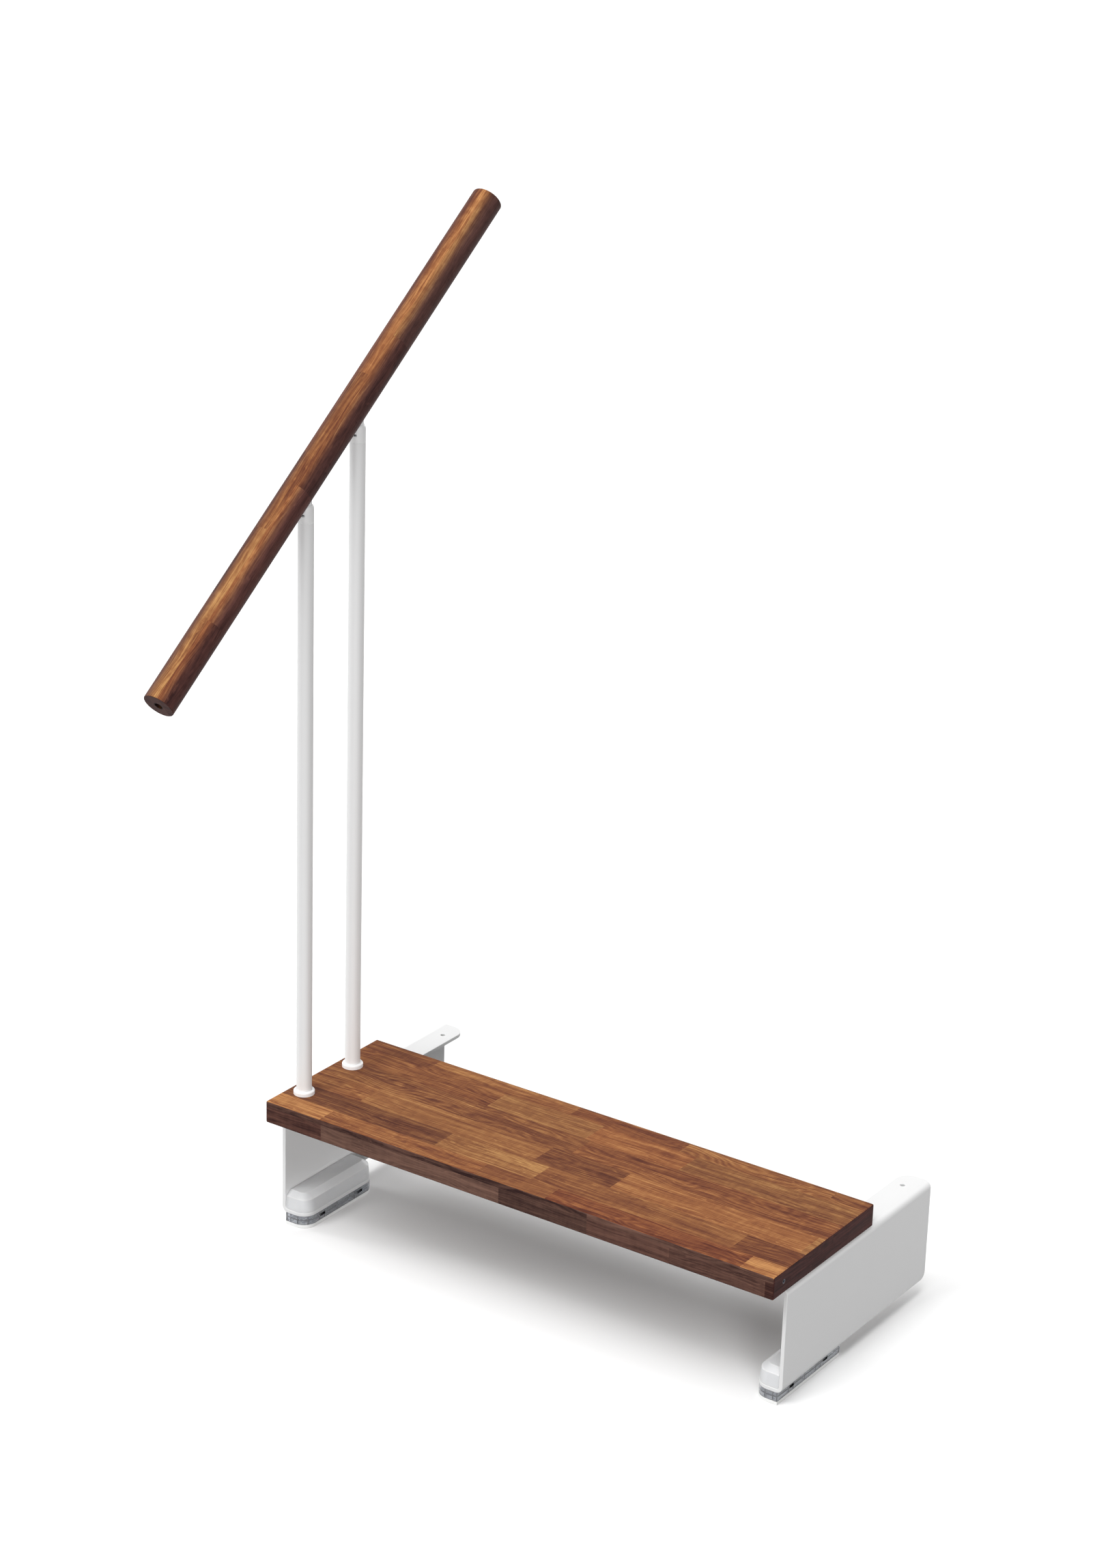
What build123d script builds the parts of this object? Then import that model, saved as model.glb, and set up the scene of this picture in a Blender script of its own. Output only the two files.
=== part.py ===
from build123d import *

import os
from math import cos, hypot, radians, sin, tan

# Staircase extension step: a laminated tread on two folded plate brackets. Each bracket stands on a
# clear ribbed spacer and a base pad, and two balusters at the left end carry a sloping handrail.
# Millimetres. X runs along the tread to the right, Y goes back, up the stairs, and Z is up.
# The origin is on the floor, below the middle of the tread's length and of the handrail's run.

# Tread
tread_length = 760.0
tread_depth = 234.0
tread_thickness = 30.0
tread_round = 2.0

# Brackets, folded from one plate each
plate = 5.0
bend_radius = 4.0  # inside the fold
flange_width = 40.0  # from the plate's outer face
channel_height = 142.0  # over both flanges
bracket_setback = 34.0  # from the tread's front face to the plate's front edge
foot_length = 147.0
foot_step = 6.0  # the plate's lower edge rises by this much behind the foot
flange_corner = 19.0
plate_corner = 10.0
edge_break = 0.7
plate_lap = 2.0  # overlap of the two lengths that each bracket is drawn from

# Fixing holes: one line of them in each bracket, straight above each other
fixing_inset = 24.0  # from the plate's outer face
fixing_front = 14.5  # from the plate's front edge to the first hole
fixing_spacing = 101.5
joint_hole_radius = 3.25  # for the floor screws and for the next step's bolts
bolt_radius = 4.0  # studs and bolts that hold the tread
bolt_hole_gap = 0.5

# Feet
foot_inset = 6.25  # pad and spacer lie this far inside the plate's outer face
pad_height = 5.0
pad_round = 0.6
spacer_height = 12.0
spacer_wall = 2.0
spacer_web = 2.0
rib_thickness = 1.6
rib_bay = 26.5  # from the middle rib to the next cross rib
rib_pitch = 11.0  # from that one to the last cross rib, and from one long rib to the next
boss_radius = 7.0
window_length = 10.0
window_height = 3.8
window_setback = 34.0  # from the foot's end to the window's middle
window_drop = 5.3  # from the spacer's top to the window's middle

# Foot covers
cover_wall = 2.0
cover_skirt = 18.0
cover_shoulder = 6.5
cover_draft = 5.0  # degrees
cover_bevel = 53.5  # degrees
cover_round = 0.8
cover_gap = 0.4
socket_radius = 8.0
socket_bore = 6.3

# Balusters
tube_radius = 10.0
tube_wall = 2.0
front_tube_length = 765.0
collar_radius = 13.75
collar_height = 6.0
collar_round = 2.4
plug_length = 30.0
stud_in_plug = 25.0
stud_overhang = 3.0

# Top caps and their screws
cap_spigot = 18.0
joint_chamfer = 0.3  # on the tube's end and on the cap that meets it
cap_body = 15.5
cap_dome = 6.5
neck_radius = 7.3
slot_height = 3.0
slot_span = 60.0  # degrees round the cap
slot_level = 9.5  # from the tube's end to the slot's middle
head_radius = 6.1
head_height = 7.0
pin_hole_radius = 1.3
pin_holes = 3  # drilled right through, so twice as many mouths
shank_radius = 3.0
shank_in_rail = 22.0
rail_gap = 0.4  # between the cap's dome and the rail's underside

# Handrail
rail_radius = 20.0
rail_length = 808.0
rail_slope = 37.72  # degrees
rail_below_baluster = 348.0  # along the rail, from the front baluster's axis to the lower end
rail_round = 1.0
end_bore_radius = 5.0
end_bore_depth = 14.0
end_pilot_radius = 3.0
end_pilot_depth = 16.0

# Fasteners
washer_radius = 8.0
washer_thickness = 1.6
nut_flats = 13.0
nut_height = 6.5
bolt_head_height = 5.3
nut_chamfer = 0.8
tip_chamfer = 0.8
insert_radius = 6.0
insert_length = 18.0
bolt_in_insert = 14.0
end_insert_radius = 3.0
end_insert_bore = 1.8
end_insert_length = 12.0
end_insert_setback = 23.5  # from the tread's front face
end_insert_drop = 14.0  # from the tread's top face

# Clearances
press_gap = 0.05
slip_gap = 0.2

# Worked out from the sizes above
going = tread_depth - bracket_setback
bracket_length = going + foot_length
foot_width = flange_width - foot_inset
channel_bottom = pad_height + spacer_height
flange_top = channel_bottom + plate
tread_bottom = channel_bottom + channel_height
tread_top = tread_bottom + tread_thickness
bolt_hole_radius = bolt_radius + bolt_hole_gap
fold_outer = plate + bend_radius

slope = radians(rail_slope)
rail_direction = Vector(0, cos(slope), sin(slope))
post_x = fixing_inset - tread_length / 2
front_post_y = -(rail_length / 2 - rail_below_baluster) * cos(slope)
rear_post_y = front_post_y + fixing_spacing
bracket_front_y = front_post_y - fixing_front
tread_front_y = bracket_front_y - bracket_setback
fixing_rows = (fixing_front, fixing_front + fixing_spacing)

front_tube_top = tread_top + front_tube_length
rear_tube_top = front_tube_top + fixing_spacing * tan(slope)

# The rail's underside passes just over the cap's dome, which is a quarter ellipse in section
dome_reach = hypot(cap_dome, (tube_radius - neck_radius) * tan(slope))
underside_over_tube = cap_body + neck_radius * tan(slope) + dome_reach + rail_gap
rail_axis_over_tube = underside_over_tube + rail_radius / cos(slope)
rail_middle = Vector(post_x, 0, front_tube_top + rail_axis_over_tube - front_post_y * tan(slope))


def placed(shape, x, y, z):
    """A copy of the shape, moved."""
    return Pos(x, y, z) * shape


def ring(outer, inner, height):
    """A round tube standing on the XY plane."""
    return extrude(Circle(outer) - Circle(inner), height)


def rod(radius, height):
    """A round bar standing on the XY plane."""
    return extrude(Circle(radius), height)


def hexagon(flats, height):
    """A hexagonal block with chamfered corners, as nuts and bolt heads have."""
    block = extrude(RegularPolygon(flats / 2, 6, major_radius=False), height)
    turned = rod(flats / 2 + nut_chamfer, height)
    turned = chamfer(turned.edges(), nut_chamfer)
    return block & turned


def foot_outline(inset, width, margin=0.0):
    """A foot's outline: a straight outer side and two round inner corners.
    X counts inwards from the plate's outer face and Y back from the plate's front edge."""
    size_x = width - 2 * margin
    size_y = foot_length - 2 * margin
    outline = Rectangle(size_x, size_y, align=(Align.MIN, Align.MIN))
    inner_corners = outline.vertices().group_by(Axis.X)[-1]
    outline = fillet(inner_corners, flange_corner - margin)
    return Pos(inset + margin, margin) * outline


def at_fixings(shape, z=0.0, rows=fixing_rows):
    """The shape repeated at the fixing holes of one bracket."""
    return [placed(shape, fixing_inset, row, z) for row in rows]


def on_side(shape, side):
    """A shape drawn beside a plate's outer face, moved to the left or right end of the tread."""
    left = placed(shape, -tread_length / 2, bracket_front_y, 0)
    return left if side == "left" else mirror(left, Plane.YZ)


def channel_section():
    """The folded plate's section over the foot, open on the inner side."""
    outside = Rectangle(flange_width, channel_height, align=(Align.MIN, Align.MIN))
    outside = fillet(outside.vertices().group_by(Axis.X)[0], fold_outer)
    inside = Rectangle(flange_width, channel_height - 2 * plate, align=(Align.MIN, Align.MIN))
    inside = fillet(inside.vertices().group_by(Axis.X)[0], bend_radius)
    return outside - Pos(plate, plate) * inside


def angle_section():
    """The folded plate's section behind the foot: the top flange and a flat plate."""
    height = channel_height - foot_step
    outside = Rectangle(flange_width, height, align=(Align.MIN, Align.MIN))
    outside = fillet(outside.vertices().group_by(Axis.X)[0].sort_by(Axis.Y)[-1:], fold_outer)
    inside = Rectangle(flange_width, height - plate, align=(Align.MIN, Align.MIN))
    inside = fillet(inside.vertices().group_by(Axis.X)[0].sort_by(Axis.Y)[-1:], bend_radius)
    return Pos(0, foot_step) * (outside - Pos(plate, 0) * inside)


def folded_length(section, start, length):
    """A length of folded plate. Start counts back from the bracket's front edge."""
    upright = Plane((0, start, channel_bottom), x_dir=(1, 0, 0), z_dir=(0, -1, 0))
    return extrude(upright * section, -length)


def foot_channel():
    """The bracket over its foot, with the front corners of both flanges and the bottom flange's rear
    corner rounded and its rims softened."""
    body = folded_length(channel_section(), 0, foot_length)
    corners = body.edges().filter_by(Axis.Z).group_by(Axis.X)[-1]
    joined = corners.group_by(Axis.Y)[-1].sort_by(Axis.Z)[-1]
    body = fillet([corner for corner in corners if corner != joined], flange_corner)
    return fillet(rim_edges(body), edge_break)


def rear_angle():
    """The bracket behind its foot, from just inside the foot's length, where its end stays square."""
    start = foot_length - plate_lap
    body = folded_length(angle_section(), start, bracket_length - start)
    flange_end = body.edges().filter_by(Axis.Z).group_by(Axis.X)[-1].sort_by(Axis.Y)[-1]
    body = fillet(flange_end, flange_corner)
    plate_end = body.edges().filter_by(Axis.X).group_by(Axis.Z)[0].sort_by(Axis.Y)[-1]
    body = fillet(plate_end, plate_corner)
    square_end = body.faces().sort_by(Axis.Y)[0].edges()
    return fillet([edge for edge in rim_edges(body) if edge not in square_end], edge_break)


def rim_edges(body):
    """The sharp edges round a folded plate's two broad sides, without those across its thickness."""
    return [edge for edge in body.edges() if abs(edge.length - plate) > 0.001 and is_sharp(body, edge)]


def is_sharp(body, edge):
    """Whether two faces meet at an angle in this edge, and don't run smoothly into each other."""
    first, second = [face.normal_at(edge @ 0.5) for face in body.faces() if edge in face.edges()]
    return first.get_angle(second) > 20


def bracket():
    """A bracket: the full-length top flange takes the tread and, behind it, the next step's foot."""
    body = foot_channel() + rear_angle()
    drill = rod(bolt_hole_radius, 3 * plate)
    for hole in at_fixings(drill, tread_bottom - 2 * plate):
        body -= hole
    drill = rod(joint_hole_radius, 3 * plate)
    for hole in at_fixings(drill, channel_bottom - plate):
        body -= hole
    next_step = [row + going for row in fixing_rows]
    for hole in at_fixings(drill, tread_bottom - 2 * plate, next_step):
        body -= hole
    return body


def pad():
    """The base pad under a foot."""
    body = extrude(foot_outline(foot_inset, foot_width), pad_height)
    body = fillet(body.edges().group_by(Axis.Z)[0], pad_round)
    for hole in at_fixings(rod(joint_hole_radius, pad_height)):
        body -= hole
    return body


def spacer():
    """The moulded spacer: a wall, a web at half height, ribs on both sides of it and two bosses."""
    outside = foot_outline(foot_inset, foot_width)
    inside = foot_outline(foot_inset, foot_width, spacer_wall)
    room = extrude(inside, spacer_height)
    web = extrude(inside, spacer_web)
    body = extrude(outside - inside, spacer_height)
    body += placed(web, 0, 0, (spacer_height - spacer_web) / 2)
    body += (rib_grid() & room)
    for boss in at_fixings(rod(boss_radius, spacer_height)):
        body += boss
    for hole in at_fixings(rod(joint_hole_radius, spacer_height)):
        body -= hole
    body -= windows()
    return placed(body, 0, 0, pad_height)


def rib_grid():
    """Three long ribs and five cross ribs, at even places about the middle of the two bosses."""
    middle = fixing_front + fixing_spacing / 2
    upright = (Align.CENTER, Align.CENTER, Align.MIN)
    cross_rib = Box(2 * flange_width, rib_thickness, spacer_height, align=upright)
    long_rib = Box(rib_thickness, 2 * foot_length, spacer_height, align=upright)
    steps = (-rib_bay - rib_pitch, -rib_bay, 0, rib_bay, rib_bay + rib_pitch)
    ribs = [Pos(fixing_inset, middle + step) * cross_rib for step in steps]
    ribs += [Pos(fixing_inset + step, middle) * long_rib for step in (-rib_pitch, 0, rib_pitch)]
    return Part() + ribs


def windows():
    """The small windows in the spacer's two long sides."""
    cutter = Box(2 * spacer_wall, window_length, window_height)
    level = spacer_height - window_drop
    places = [
        (x, y, level)
        for x in (foot_inset, flange_width)
        for y in (window_setback, foot_length - window_setback)
    ]
    return [Pos(*place) * cutter for place in places]


def cover_outline(margin, lean=0.0):
    """The cover's outline and its mirror image past the wall beside the plate, which gets no draft."""
    wall = plate + cover_gap + margin
    room = cover_gap + margin + lean
    outline = Rectangle(2 * (flange_width - room - wall), foot_length - 2 * room)
    return Pos(wall, foot_length / 2) * fillet(outline.vertices(), flange_corner - room)


def cover_solid(margin):
    """The cover's drafted skirt and bevelled shoulder, or its inside where a margin is given."""
    lean = cover_skirt * tan(radians(cover_draft))
    body = extrude(cover_outline(margin), cover_skirt, taper=cover_draft)
    body += extrude(Pos(0, 0, cover_skirt) * cover_outline(margin, lean), cover_shoulder, taper=cover_bevel)
    return split(body, Plane.YZ.offset(plate + cover_gap + margin), keep=Keep.TOP)


def cover():
    """The frosted cover: a shell with softened creases, rounded to clear the plate's bend, and two
    sockets inside."""
    ceiling = cover_skirt + cover_shoulder - cover_wall
    body = cover_solid(0)
    # From below, the edges lie round the foot, up the skirt, round the waist, up the bevel, round the top
    waist, top = body.edges().group_by(Axis.Z)[2::2]
    body = fillet(waist + top, cover_round)
    beside_plate = body.edges().filter_by(Axis.Y).group_by(Axis.X)[0]
    body = fillet(beside_plate.sort_by(Axis.Z)[0], bend_radius)
    body -= split(cover_solid(cover_wall), Plane.XY.offset(ceiling), keep=Keep.BOTTOM)
    for socket in at_fixings(ring(socket_radius, socket_bore, ceiling)):
        body += socket & cover_solid(cover_wall / 2)
    return placed(body, 0, 0, flange_top)


def tread():
    """The laminated board with the baluster holes, the seats for its inserts and its end hole."""
    body = Box(tread_length, tread_depth, tread_thickness, align=(Align.CENTER, Align.MIN, Align.MIN))
    body = placed(body, 0, tread_front_y, tread_bottom)
    body = fillet(body.edges(), tread_round)
    for hole in at_fixings(rod(bolt_hole_radius, tread_thickness), tread_bottom):
        body -= on_side(hole, "left")
    for seat in at_fixings(rod(insert_radius + press_gap, insert_length), tread_bottom):
        body -= on_side(seat, "right")
    seat = rod(end_insert_radius + press_gap, end_insert_length)
    return body - end_insert_plane() * seat


def end_insert_plane():
    """The plane on the tread's right end face where the end insert sits, facing into the wood."""
    level = tread_top - end_insert_drop
    spot = (tread_length / 2, tread_front_y + end_insert_setback, level)
    return Plane(spot, x_dir=(0, 1, 0), z_dir=(-1, 0, 0))


def tread_end_insert():
    return end_insert_plane() * ring(end_insert_radius, end_insert_bore, end_insert_length)


def washers(side):
    """The washers under one bracket's top flange."""
    washer = ring(washer_radius, bolt_radius + slip_gap, washer_thickness)
    level = tread_bottom - plate - washer_thickness
    return [on_side(w, side) for w in at_fixings(washer, level)]


def stud_nuts():
    nut = hexagon(nut_flats, nut_height) - rod(bolt_radius + press_gap, nut_height)
    level = tread_bottom - plate - washer_thickness - nut_height
    return [on_side(n, "left") for n in at_fixings(nut, level)]


def stud():
    """A threaded rod from the tube's plug down through tread, bracket, washer and nut."""
    below = tread_thickness + plate + washer_thickness + nut_height + stud_overhang
    body = rod(bolt_radius, below + stud_in_plug)
    body = chamfer(body.edges(), tip_chamfer)
    return placed(body, 0, 0, tread_top - below)


def shank(radius, length):
    """A screw's shank with a chamfered tip."""
    bar = rod(radius, length)
    return chamfer(bar.edges().group_by(Axis.Z)[-1], tip_chamfer)


def tread_bolts():
    """The two bolts that hold the tread on the right bracket."""
    grip = washer_thickness + plate + bolt_in_insert
    bolt = hexagon(nut_flats, bolt_head_height) + shank(bolt_radius, bolt_head_height + grip)
    level = tread_bottom - plate - washer_thickness - bolt_head_height
    return [on_side(b, "right") for b in at_fixings(bolt, level)]


def tread_inserts():
    insert = ring(insert_radius, bolt_radius + press_gap, insert_length)
    return [on_side(i, "right") for i in at_fixings(insert, tread_bottom)]


def collar():
    """The moulded ring round a tube's foot."""
    body = ring(collar_radius, tube_radius + slip_gap, collar_height)
    outer_top = body.edges().group_by(Axis.Z)[-1].sort_by(SortBy.RADIUS)[-1]
    return placed(fillet(outer_top, collar_round), 0, 0, tread_top)


def tube(top):
    """A baluster's tube, with its upper rim chamfered where the cap meets it."""
    body = ring(tube_radius, tube_radius - tube_wall, top - tread_top)
    rim = body.edges().group_by(Axis.Z)[-1].sort_by(SortBy.RADIUS)[-1]
    return placed(chamfer(rim, joint_chamfer), 0, 0, tread_top)


def tube_plug():
    """The tapped plug in a tube's lower end."""
    body = ring(tube_radius - tube_wall - press_gap, bolt_radius + press_gap, plug_length)
    return placed(body, 0, 0, tread_top)


def rail_over_tube(radius):
    """The rail's round bar as seen from the end of a tube, where the tube's axis meets Z = 0."""
    axis = Plane((0, 0, rail_axis_over_tube), x_dir=(1, 0, 0), z_dir=rail_direction)
    return axis * Cylinder(radius, 8 * rail_radius)


def cap_profile():
    """Half the cap's turned section, with Z = 0 at the tube's end."""
    spigot = tube_radius - tube_wall - press_gap
    start = (0, -cap_spigot)
    seat = (tube_radius - joint_chamfer, 0)
    rim = (tube_radius, joint_chamfer)
    shoulder = (tube_radius, cap_body)
    dome_top = (neck_radius, cap_body + cap_dome)
    neck_top = (neck_radius, rail_axis_over_tube)
    with BuildSketch(Plane.XZ) as profile:
        with BuildLine():
            Polyline(start, (spigot, -cap_spigot), (spigot, 0), seat, rim, shoulder)
            EllipticalCenterArc((neck_radius, cap_body), tube_radius - neck_radius, cap_dome, arc_size=90)
            Polyline(dome_top, neck_top, (0, rail_axis_over_tube), start)
        make_face()
    return profile.sketch


def top_cap():
    """A cap turned in one piece with its neck, which is coped to the rail's underside, and slotted
    for the pin that turns its screw."""
    ceiling = slot_level + head_height / 2
    body = revolve(cap_profile(), Axis.Z) - rail_over_tube(rail_radius)
    body -= placed(rod(head_radius + slip_gap, cap_spigot + ceiling), 0, 0, -cap_spigot)
    body -= rod(shank_radius + slip_gap, rail_axis_over_tube)
    return body - cap_slot()


def cap_slot():
    """The slot in the cap's front, wide enough to swing a pin from one hole of the screw to the next."""
    half = radians(slot_span / 2)
    depth = 2 * tube_radius
    width = depth * tan(half)
    wedge = Polygon((0, 0), (-width, -depth), (width, -depth), align=None)
    return placed(extrude(wedge, slot_height), 0, 0, slot_level - slot_height / 2)


def capstan_screw():
    """The rail screw: its drum head sits in the cap and is turned with a pin through the slot."""
    ceiling = slot_level + head_height / 2
    head = placed(rod(head_radius, head_height), 0, 0, ceiling - head_height)
    drill = Rot(90, 0, 0) * Cylinder(pin_hole_radius, 3 * head_radius)
    for step in range(pin_holes):
        head -= placed(Rot(0, 0, 180 * step / pin_holes) * drill, 0, 0, slot_level)
    return head + placed(shank(shank_radius, underside_over_tube + shank_in_rail - ceiling), 0, 0, ceiling)


def handrail():
    """The round rail, drilled at both ends for a joiner and underneath for the two rail screws."""
    along = Plane(rail_middle, x_dir=(1, 0, 0), z_dir=rail_direction)
    body = Cylinder(rail_radius, rail_length)
    body = fillet(body.edges(), rail_round)
    drills = ((end_bore_radius, end_bore_depth), (end_pilot_radius, end_bore_depth + end_pilot_depth))
    for radius, depth in drills:
        for end in (-1, 1):
            body -= Pos(0, 0, end * (rail_length - depth) / 2) * Cylinder(radius, depth)
    body = along * body
    pilot = rod(shank_radius + press_gap, underside_over_tube + shank_in_rail)
    for y, top in ((front_post_y, front_tube_top), (rear_post_y, rear_tube_top)):
        body -= placed(pilot, post_x, y, top)
    return body


def save(node, shape):
    """Writes one node, which may be several like solids."""
    solids = []
    for piece in shape if isinstance(shape, (list, ShapeList)) else [shape]:
        solids += piece.solids()
    result = solids[0] if len(solids) == 1 else Compound(solids)
    result.label = node
    export_step(result, f"parts/{node}.step")


def save_sides():
    """The pieces that both brackets have, the right ones mirrored."""
    shapes = {"bracket": bracket(), "foot_pad": pad(), "foot_spacer": spacer(), "foot_cover": cover()}
    for node, shape in shapes.items():
        for side in ("left", "right"):
            save(f"{node}_{side}", on_side(shape, side))


def save_balusters():
    """The two balusters, which differ only in the length of their tubes."""
    for name, y, top in (("front", front_post_y, front_tube_top), ("rear", rear_post_y, rear_tube_top)):
        save(f"baluster_tube_{name}", placed(tube(top), post_x, y, 0))
        save(f"collar_{name}", placed(collar(), post_x, y, 0))
        save(f"tube_plug_{name}", placed(tube_plug(), post_x, y, 0))
        save(f"baluster_stud_{name}", placed(stud(), post_x, y, 0))
        save(f"top_cap_{name}", placed(top_cap(), post_x, y, top))
        save(f"capstan_screw_{name}", placed(capstan_screw(), post_x, y, top))


os.makedirs("parts", exist_ok=True)
save("tread", tread())
save("tread_end_insert", tread_end_insert())
save("handrail", handrail())
save_sides()
save_balusters()
save("stud_washers", washers("left"))
save("stud_nuts", stud_nuts())
save("bolt_washers", washers("right"))
save("tread_bolts", tread_bolts())
save("tread_inserts", tread_inserts())
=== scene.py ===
"""Looks of the staircase extension step: wood, powder coat, plastics and zinc, its threaded parts,
the floor, the lamps and the camera. Meshes are in metres in the part's frame, and materials in mm.
"""

import math
import random

import bpy
from bpy.props import FloatProperty, FloatVectorProperty, IntProperty, PointerProperty
from mathutils import Euler, Matrix, Vector


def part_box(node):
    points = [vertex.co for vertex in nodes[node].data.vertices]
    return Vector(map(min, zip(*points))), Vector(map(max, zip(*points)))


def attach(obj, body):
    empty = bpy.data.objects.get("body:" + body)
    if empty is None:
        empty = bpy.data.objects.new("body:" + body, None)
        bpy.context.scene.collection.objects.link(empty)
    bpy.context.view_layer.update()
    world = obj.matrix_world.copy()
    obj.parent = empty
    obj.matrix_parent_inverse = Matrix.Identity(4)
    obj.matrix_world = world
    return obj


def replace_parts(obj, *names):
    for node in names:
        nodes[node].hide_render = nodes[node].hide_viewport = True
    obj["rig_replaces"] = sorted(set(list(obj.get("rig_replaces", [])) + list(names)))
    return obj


bl_info = {
    "name": "Staircase extension step",
    "version": (1, 0, 0),
    "blender": (4, 5, 0),
    "location": "3D View > Sidebar > Extension step",
    "description": "Finishes and small parts of a stair extension step with balusters and rail",
    "category": "Object",
}

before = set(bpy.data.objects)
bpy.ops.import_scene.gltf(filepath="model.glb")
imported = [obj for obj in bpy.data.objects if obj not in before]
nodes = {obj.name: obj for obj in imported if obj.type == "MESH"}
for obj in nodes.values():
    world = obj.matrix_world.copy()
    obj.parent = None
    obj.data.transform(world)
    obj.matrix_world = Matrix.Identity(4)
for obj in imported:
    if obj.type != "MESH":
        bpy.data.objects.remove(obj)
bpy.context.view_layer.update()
tread_low, tread_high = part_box("tread")
rail_low, rail_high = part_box("handrail")

MM = 0.001
WHITE = (1.0, 1.0, 1.0, 1.0)
SMOOTH_BELOW = math.radians(35.0)

# The tread's glued rows from its front face back, in mm, and in each row where a stave starts, in
# mm from the tread's middle, and how light it is, from 0 to 1.
TOP_ROWS = (
    (0.0, ((-380, 0.72), (-295, 0.5), (-54.5, 0.46), (51, 0.35), (332.5, 0.74))),
    (31.5, ((-380, 0.34), (-137, 0.63), (11, 0.5), (297, 0.33))),
    (72.0, ((-380, 0.5), (-287.5, 0.53), (-17.5, 0.36), (100.5, 0.58), (370, 0.66))),
    (118.0, ((-380, 0.45), (-161, 0.4), (10, 0.42))),
    (162.0, ((-380, 0.45), (-149, 0.57), (2.5, 0.53), (141, 0.48))),
    (205.5, ((-380, 0.38), (-275, 0.52), (-53, 0.38), (114.5, 0.54), (327.5, 0.47))),
)
# The same on the long edges, in mm down from the top face.
EDGE_ROWS = (
    (0.0, ((-380, 0.35), (-128, 0.25), (114, 0.5))),
    (7.5, ((-380, 0.3), (-292.5, 0.62), (-17.5, 0.34), (114, 0.45), (234, 0.42), (366, 0.2))),
)
# And on the short ends, from the tread's middle, front to back.
END_ROWS = (
    (0.0, ((-117, 0.42), (20, 0.5))),
    (11.0, ((-117, 0.38), (63, 0.46))),
    (20.0, ((-117, 0.44), (-30, 0.38))),
)

# And on the handrail, left to right of its axis, in mm from the middle of its length.
RAIL_ROWS = (
    (-30.0, ((-404, 0.55), (-250, 0.42), (-30, 0.6), (210, 0.48))),
    (-7.0, ((-404, 0.66), (-150, 0.52), (95, 0.62), (300, 0.5))),
    (8.0, ((-404, 0.5), (-290, 0.6), (-80, 0.45), (160, 0.58))),
)
# Half the handrail's length, and the radius that its bores' walls lie within, in mm.
RAIL_HALF = 404.0
RAIL_BORE = 6.2

# The tints between which the staves differ.
REDDER = (1.05, 0.95, 0.93, 1.0)
YELLOWER = (0.96, 1.03, 1.02, 1.0)
# What the tread's ends keep of the colour, which makes them darker than its top and long edges, and
# what the handrail's bores keep of it: the bores are painted near black, painted shade in the holes.
END_TINT = (0.5, 0.36, 0.42, 1.0)
BORE_PAINTED_SHADE = (0.16, 0.13, 0.13, 1.0)
# A surface counts as an end or an edge where its normal reaches this far in that direction.
TREAD_TURN = 0.707
RAIL_TURN = 0.7

# How far the handrail is painted lit rather than shaded, from 0 to 1, for how far its surface faces
# left (0) or right (1): a painted highlight lightest on top, just right of the middle, and painted
# shade towards the flanks.
RAIL_PAINTED_LIGHT = (
    (0.0, 0.1),
    (0.25, 0.16),
    (0.33, 0.24),
    (0.415, 0.48),
    (0.5, 0.72),
    (0.58, 0.94),
    (0.68, 1.0),
    (0.75, 0.92),
    (0.82, 0.52),
    (0.88, 0.17),
    (0.95, 0.0),
)
# How fast that painted light fades into painted shade as the surface turns down, and what is left of
# it at the sides.
PAINTED_LIGHT_FADE = 4.0
PAINTED_LIGHT_AT_SIDES = 0.2

# How far the staves' grain is moved apart, along the wood in mm and into it.
STAVE_ALONG = 870.0
STAVE_DEEP = 40.0
PALE_LINES_DEEPER = 7.0
# How fast the grain changes into the wood, for each mm.
TREAD_DEPTH = 0.02
RAIL_DEPTH = 0.12
# How far the grain sways sideways, and how far and how tightly its arches bend, in mm.
SWAY_REACH = 9.0
ARCH_REACH = 70.0
ARCH_TURN = 0.9
# How strong the arches are at most.
TREAD_FIGURE = 0.09
RAIL_FIGURE = 0.08
# What the flecks are lighter or darker than.
FLECK_MIDDLE = 0.4

# The lacquer's roughness, what fibres and pores add to it, how high fibres stand in its relief,
# where pores are 1 deep, and how much it reflects.
LACQUER_ROUGHNESS = 0.4
FIBRE_ROUGHNESS = 0.14
PORE_ROUGHNESS = 0.1
FIBRE_HEIGHT = 0.5
LACQUER_SPECULAR = 0.04

# The spacers' small windows, in mm: from the spacer's end to a window's middle, half its length,
# from its bottom to its top over the floor, and how deep its edges lie in the wall.
WINDOW_FROM_END = 34.0
WINDOW_HALF = 5.2
WINDOW_HEIGHTS = (9.6, 13.8)
WINDOW_DEPTHS = (0.15, 2.3)
# The same of the web behind a window. The windows' edges and this web are painted near black:
# painted shade inside the window.
WEB_HALF = 8.0
WEB_HEIGHTS = (9.9, 12.1)
WEB_DEPTHS = (1.9, 7.0)
WINDOW_PAINTED_SHADE = (0.004, 0.004, 0.005, 1.0)
# The covers' crease lines, painted white as painted highlights, in mm under their top: the waist's
# middle and half its width, and the rim, and how far the rim's painted highlight goes towards white.
WAIST_DOWN = 6.7
WAIST_HALF = 0.7
RIM_DOWN = (0.8, 0.05)
RIM_HIGHLIGHT_SHARE = 0.7

# What the floor gives back of the light on it, where the camera doesn't look at it.
DULL_FLOOR = (0.12, 0.12, 0.12, 1.0)

# How far the powder coat and the plain plastics go towards their darker shade, at most.
COAT_CLOUD = 0.35
PLASTIC_CLOUD = 0.4
# How far the spacers' pale specks go towards white, at most: painted highlights that stand for
# glints off their ribs.
PAINTED_GLINT_SHARE = 0.8
# The zinc's roughness, and what its spots add to it.
ZINC_ROUGHNESS = 0.22
SPOT_ROUGHNESS = 0.25

# Rounds after which the handrail's angle no longer changes.
SLOPE_ROUNDS = 8

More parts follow.
